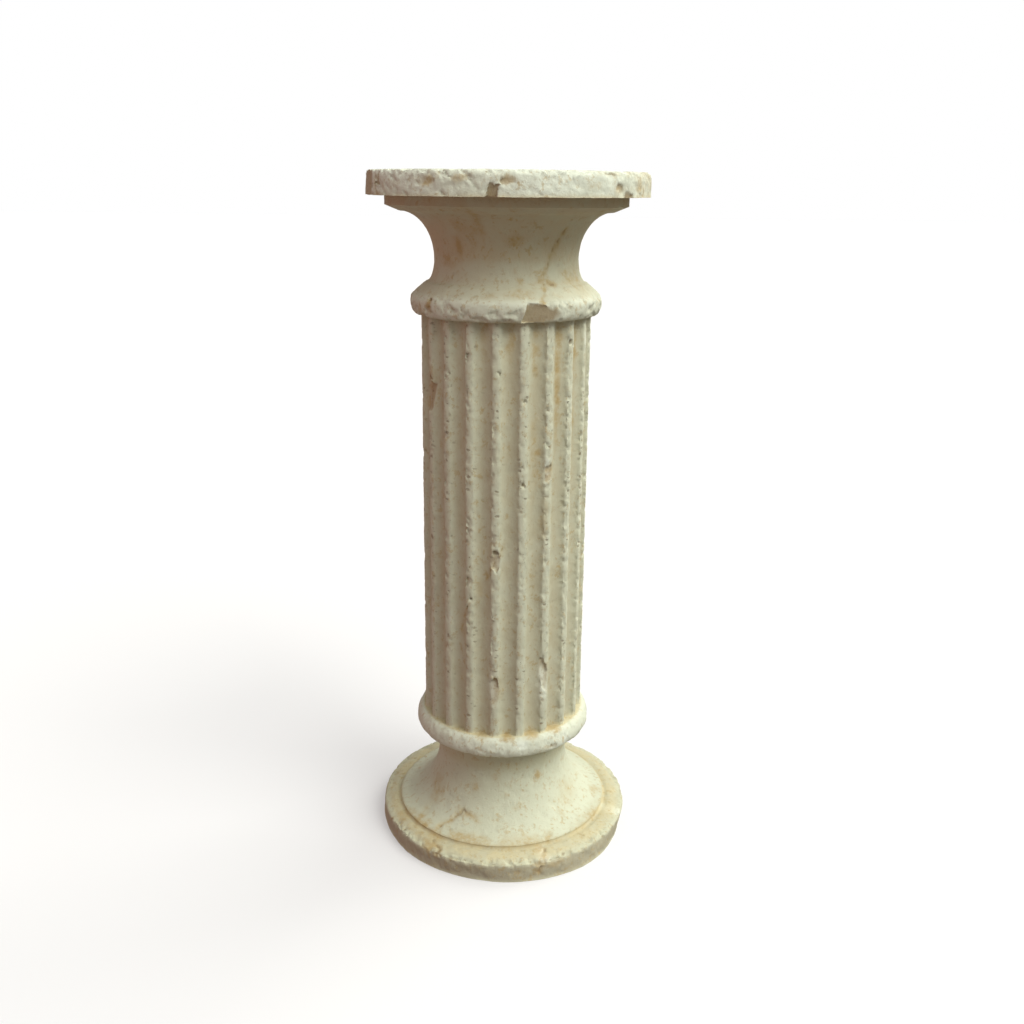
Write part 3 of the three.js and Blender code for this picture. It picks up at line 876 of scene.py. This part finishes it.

# %% [markdown]
# ## Stains
# Dust and iron have stained the stone in patches, and four low bands round the groove are painted
# shadow of its step. Each patch has an azimuth and a height, a width and a height of its own and a
# strength, and its edge is broken up by noise. Patches fade where the slab's top turns level, and a crack
# carries rust beside it. Fresh chips and painted highlights, listed alike, are painted as clean pale stone.

# %% Stains
STAINS_AND_SHADOWS = [
    # azimuth, height, half width, half height, strength
    (-37, 808, 7, 16, 0.8), (-52, 795, 8, 8, 0.7), (-45, 790, 12, 5, 0.5), (-18, 842, 6, 16, 0.7),
    (-25, 826, 5, 22, 0.5), (6, 821, 12, 7, 0.8), (-32, 835, 12, 9, 0.35), (40, 815, 5, 12, 0.6),
    (19, 812, 2, 4, 0.6), (10, 772, 4, 7, 0.6), (-10, 759, 10, 5, 0.5), (35, 770, 8, 4, 0.5),
    (10, 762, 22, 5, 0.4), (60, 775, 26, 22, 0.45), (-50, 745, 7, 12, 0.9), (-62, 735, 8, 12, 0.5),
    (0, 890, 10, 6, 0.5), (-30, 887, 13, 6, 0.8), (-18, 890, 12, 4, 0.7), (-58, 890, 8, 6, 0.6),
    (46, 879, 10, 6, 0.7), (60, 884, 10, 14, 0.7), (72, 884, 60, 30, 0.4), (44, 896, 8, 3, 0.6),
    (-58, 58, 12, 14, 0.5), (-64, 68, 16, 12, 0.4), (-57, 40, 9, 3, 0.5), (33, 100, 4, 9, 0.8),
    (-6, 105, 6, 6, 0.4), (11, 62, 6, 3, 0.5), (44, 46, 6, 6, 0.5), (84, 37, 12, 3, 0.6),
    (3, 78, 5, 4, 0.4), (-23, 88, 5, 9, 0.4), (60, 60, 24, 14, 0.35), (-30, 54, 10, 5, 0.6),
    (-62, 30, 14, 5, 0.6), (-36, 27, 14, 6, 0.7), (20, 28, 9, 5, 0.6), (39, 650, 5, 75, 0.8),
    (39, 700, 6, 35, 0.7), (57, 695, 6, 30, 0.9), (57, 600, 5, 60, 0.4), (21, 690, 6, 45, 0.5),
    (21, 560, 6, 60, 0.35), (32, 545, 8, 9, 0.6), (3, 705, 7, 26, 0.5), (-15, 700, 6, 24, 0.3),
    (28, 480, 5, 40, 0.35), (-72, 884, 26, 20, 0.5), (-60, 884, 3, 14, 0.7), (-5, 262, 5, 4, 0.9),
    (-3, 245, 6, 18, 0.4), (-64, 650, 9, 40, 0.3), (-66, 418, 5, 16, 0.6), (31, 275, 5, 10, 0.5),
    (-8, 433, 6, 12, 0.5), (-30, 330, 6, 20, 0.35), (-17, 385, 5, 14, 0.4), (24, 565, 5, 6, 0.8),
    (-15, 177, 11, 4, 0.7), (3, 177, 11, 4, 0.8), (21, 177, 11, 4, 0.7), (39, 177, 11, 4, 0.7),
    # the four low bands round the groove below are painted shadow of its step
    (-50, 33, 34, 4, 0.8), (-20, 34, 34, 4, 0.7), (10, 34, 34, 4, 0.6), (60, 33, 40, 4, 0.4),
]
# Fresh chips, and painted highlights: the bright spots on the right-hand ribs, on the torus and on the foot's
# edge.
FRESH_AND_HIGHLIGHTS = [
    # azimuth, height, half width, half height, strength
    (29, 553, 5, 8, 1.0), (30, 541, 5, 5, 0.8), (66, 701, 3, 9, 1.0), (69, 594, 3, 7, 1.0),
    (66, 508, 3, 6, 1.0), (29, 268, 7, 16, 0.8), (29, 245, 8, 22, 0.6), (-7, 246, 9, 20, 0.6),
    (-6, 425, 9, 14, 0.5), (144, 502, 12, 16, 0.5), (-150, 331, 12, 14, 0.5), (-40, 338, 4, 8, 0.5),
    (12, 168, 9, 5, 0.8), (66, 372, 3, 5, 1.0), (47, 158, 16, 8, 0.9), (20, 26, 9, 5, 0.7),
    (72, 27, 11, 4, 0.5),
]
FRESH_AND_HIGHLIGHT_PALENESS = 1.3
blur = 0.7 * layered(form, 8.0, 201, layers=3, fade=0.7)
on_top = zone_of_row == "slab top"
spots_hold = np.where(on_top, ramp(profile[:, 0], 155.0, 174.0), 1.0)[:, None]


def spots_mask(spots):
    """The strength of the strongest patch at each grid point, full inside an oval with a broken edge."""
    mask = np.zeros(form.shape[:2], np.float32)
    for spot, height, wide, tall, strength in spots:
        sideways = radius_row * (np.mod(azimuth_grid - np.radians(spot) + np.pi, 2 * np.pi) - np.pi)
        away = np.hypot(sideways / wide, (form[..., 2] - height) / tall)
        mask = np.maximum(mask, strength * (1 - ramp(away + blur, 0.4, 1.3)))
    return mask * spots_hold


stain_and_shadow = np.maximum(spots_mask(STAINS_AND_SHADOWS), 0.7 * rust)
fresh_and_highlit = spots_mask(FRESH_AND_HIGHLIGHTS)
pale_and_lit = pale_and_lit + (FRESH_AND_HIGHLIGHT_PALENESS - pale_and_lit) * fresh_and_highlit
broken = broken * (1 - fresh_and_highlit)
print("stains:", len(STAINS_AND_SHADOWS), "fresh chips:", len(FRESH_AND_HIGHLIGHTS))

# %% [markdown]
# ## The mesh
# The grid becomes a closed mesh: four-sided faces between the rows, and a fan of triangles at each end of
# the axis. What each point has lived through, with the painted light and shade worked out beside it, goes
# along as attributes for the stone's colour, because a mask that is worked out on the grid follows each
# rib and chip as no picture could.

# %% The mesh


def grid_mesh(name, points, low_pole, high_pole):
    """A closed mesh from a grid that wraps round, with a pole point at each end of its rows."""
    rows, columns = points.shape[:2]
    index = np.arange(rows * columns).reshape(rows, columns)
    after = np.roll(index, -1, axis=1)
    quads = np.stack([index[:-1], after[:-1], after[1:], index[1:]], axis=-1).reshape(-1, 4)
    low, high = rows * columns, rows * columns + 1
    low_fan = np.stack([after[0], index[0], np.full(columns, low)], axis=-1)
    high_fan = np.stack([index[-1], after[-1], np.full(columns, high)], axis=-1)
    vertices = np.concatenate([points.reshape(-1, 3), [low_pole, high_pole]]).astype(np.float32)
    mesh = bpy.data.meshes.new(name)
    mesh.vertices.add(len(vertices))
    mesh.vertices.foreach_set("co", vertices.ravel())
    corners = np.concatenate([quads.ravel(), low_fan.ravel(), high_fan.ravel()]).astype(np.int32)
    sizes = np.concatenate([np.full(len(quads), 4), np.full(2 * columns, 3)])
    starts = np.concatenate([[0], np.cumsum(sizes)[:-1]]).astype(np.int32)
    mesh.loops.add(len(corners))
    mesh.loops.foreach_set("vertex_index", corners)
    mesh.polygons.add(len(sizes))
    mesh.polygons.foreach_set("loop_start", starts)
    mesh.update(calc_edges=True)
    mesh.validate()
    return mesh


def add_attribute(mesh, name, grid):
    """Stores one number for each grid point, with 0 for the two poles."""
    layer = mesh.attributes.new(name, "FLOAT", "POINT")
    values = np.broadcast_to(grid, azimuth_grid.shape)
    layer.data.foreach_set("value", np.concatenate([values.ravel(), [0, 0]]).astype(np.float32))


limit = np.array(cad_box) / MM
form = np.clip(form, limit[0], limit[1])
low_pole, high_pole = (0.0, 0.0, 0.0), (0.0, 0.0, form[-1, :, 2].mean() * MM)
fine = grid_mesh("column_stone", form * MM, low_pole, high_pole)
masks = {"flute": cut, "pitted": pitted, "broken": broken, "crest": crest}
masks.update({"stain_and_shadow": stain_and_shadow, "pale_and_lit": pale_and_lit, "tan_and_shade": tan_and_shade})
for name, grid in masks.items():
    add_attribute(fine, name, grid)
column = bpy.data.objects.new("column_stone", fine)
bpy.context.collection.objects.link(column)
print("fine faces:", len(fine.polygons))

# %% [markdown]
# ## Fewer faces
# The grid is much finer than a part needs. A Decimate modifier merges the faces that lie flat and keeps
# those in pits, chips and edges, which a coarser grid would lose. A point that it has pushed out of the
# solid's box is put back. Only edges sharper than the limit are shaded as creases.

# %% Fewer faces
FACE_BUDGET = 196000
SHARP_ANGLE = np.radians(60.0)
fewer = column.modifiers.new("fewer", "DECIMATE")
fewer.ratio = FACE_BUDGET / (2 * len(fine.polygons))
fewer.use_collapse_triangulate = True
whole = bpy.data.meshes.new_from_object(column.evaluated_get(bpy.context.evaluated_depsgraph_get()))
column.modifiers.clear()
column.data = whole
vertices = np.empty(3 * len(whole.vertices), np.float32)
whole.vertices.foreach_get("co", vertices)
inside_box = np.clip(vertices.reshape(-1, 3), *np.array(cad_box, np.float32))
whole.vertices.foreach_set("co", inside_box.ravel())
whole.polygons.foreach_set("use_smooth", np.ones(len(whole.polygons), bool))
whole.set_sharp_from_angle(angle=SHARP_ANGLE)
print("triangles:", len(whole.polygons), "attributes:", [a.name for a in whole.attributes])

# %% [markdown]
# ## The stone
# Old limestone is not one colour. The skin is a cool cream, whiter on the slab, where that partly stands
# for its stronger light, and at fresh chips and painted highlights, tan on the floors of the flutes, and
# ochre to brown where dust has settled in pits and cracks. In the groove and under the mouldings the tan
# and the dust are partly painted shade. A broken face is darker than both and has no skin.

# %% Colours of the stone
CREAM = rgb(191, 193, 168)
PALE_AND_LIT = rgb(223, 229, 212)
DUST_AND_SHADE = rgb(150, 140, 124)
HONEY_AND_SHADE = rgb(202, 186, 138)
TAN_AND_SHADE = rgb(192, 177, 144)
FLOOR = rgb(186, 178, 148)
OCHRE = rgb(175, 151, 101)
BROWN = rgb(118, 94, 66)
FRACTURE = rgb(164, 146, 112)
print("cream in linear light:", [round(float(part), 3) for part in CREAM])

# %% [markdown]
# ## Patterns in the stone
# Stone is clouded at every size, from hand-wide patches to single grains. Noise on Object coordinates
# gives each size, because it has no seam and runs through the block as veins do. Specks and nicks are
# read on bent and flattened coordinates, so that they lie along the ribs like worn grains; their brown
# is partly painted shade in small chips.

# %% Patterns
stone_material, stone = new_material("weathered_stone")
where = stone.node("ShaderNodeTexCoord")["Object"]
height = stone.node("ShaderNodeSeparateXYZ", {}, {"Vector": where})["Z"]
clouds = stone.noise(where, 80, detail=4)
patches = stone.noise(where, 24, detail=5, rough=0.65)
blotches = stone.noise(where, 13, detail=6, rough=0.72)
spots = stone.noise(stone.vector("MULTIPLY", where, (1.0, 1.0, 0.7)), 6, detail=4, rough=0.65)
grain = stone.noise(where, 2.2, detail=3)
flattened = stone.vector("MULTIPLY", stone.warped(where, 5, 3.0), (1.0, 1.0, 1.6))
specks = stone.dots(flattened, 9, 0.36, 0.13)
nicks = stone.noise(flattened, 5, detail=5, rough=0.7).step(0.61, 0.68)
print("pattern nodes:", len(stone.tree.nodes))

# %% [markdown]
# ## Layers of colour
# The skin is laid on as a painter lays glazes, each through its own mask: pale and dusty skin first, with
# painted light on the slab, painted highlights and painted shade in the groove, then tan, partly painted
# warm shade under the mouldings and in the groove, ochre blotches and stains, with the painted shadow of
# the groove's step, broken faces, and dirt in the pits and dark specks last, the specks partly painted
# shade in small chips. The masks come from the attributes and the patterns. Grain and small dots go in
# as bump, since they are finer than the mesh.

# %% Layers of colour
on_crest = stone.attribute("crest")
paleness_and_light = stone.attribute("pale_and_lit")
# Tan, warm honey low down, is partly painted warm shade in the groove and under the mouldings.
tan_and_shade_colour = stone.mix(height.step(0.70, 0.78), HONEY_AND_SHADE, TAN_AND_SHADE)
# Paleness paints the slab whiter, partly standing for its stronger light, and paints highlights; below 0 it
# darkens the foot's side and the groove, where it is painted shade.
colour =stone.mix(paleness_and_light * (0.65 + 0.35 * clouds.step(0.35, 0.6)), CREAM, PALE_AND_LIT)
colour = stone.mix(0.0 - paleness_and_light, colour, DUST_AND_SHADE)
colour = stone.mix(stone.attribute("tan_and_shade") * (0.5 + 0.5 * patches.step(0.35, 0.6)), colour, tan_and_shade_colour)
colour = stone.mix(stone.attribute("flute") * (0.35 + 0.4 * patches.step(0.3, 0.7)), colour, FLOOR)
colour = stone.mix(blotches.step(0.56, 0.66) * 0.45, colour, OCHRE)
colour = stone.mix(spots.step(0.55, 0.66) * clouds.step(0.35, 0.6) * 0.5, colour, OCHRE)
# The stain mask holds stains, rust and the painted shadow of the groove's step.
colour = stone.mix(stone.attribute("stain_and_shadow") * (0.4 + 0.6 * blotches.step(0.38, 0.58)), colour, OCHRE)
colour = stone.mix(stone.attribute("broken") * 0.8, colour, FRACTURE)
colour = stone.mix(stone.attribute("pitted").step(0.1, 1.0) * 0.6, colour, BROWN)
# Specks and nicks on the ribs: dirt, and painted shade in small chips.
colour = stone.mix(specks * (0.1 + 0.4 * on_crest), colour, BROWN)
colour = stone.mix(nicks * (0.1 + 0.5 * on_crest), colour, BROWN)

roughness = 0.82 + 0.12 * patches
bump_height = grain * 0.35 + spots * 0.5 - (specks + nicks) * (0.15 + 0.5 * on_crest)
bump_values = {"Strength": 0.6, "Distance": 1.6 * MM, "Height": bump_height}
bump = stone.node("ShaderNodeBump", {}, bump_values)["Normal"]
surface = stone.node(
    "ShaderNodeBsdfPrincipled",
    {},
    {"Base Color": colour, "Roughness": roughness, "Normal": bump, "Specular IOR Level": 0.25},
)["BSDF"]
stone.node("ShaderNodeOutputMaterial", {}, {"Surface": surface})
column.data.materials.clear()
column.data.materials.append(stone_material)
print("stone nodes:", len(stone.tree.nodes))

# %% [markdown]
# ## Hand over
# The slab's lamp is told to light the stone only, so the floor stays even. The stone mesh stands for the
# whole CAD solid, which is hidden, and rides on the one body.

# %% Hand over
lit_by_lamp = bpy.data.collections.new("lit_by_lamp")
lit_by_lamp.objects.link(column)
bpy.data.objects["slab_lamp"].light_linking.receiver_collection = lit_by_lamp

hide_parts("column")
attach(column, "root")

bpy.context.view_layer.update()
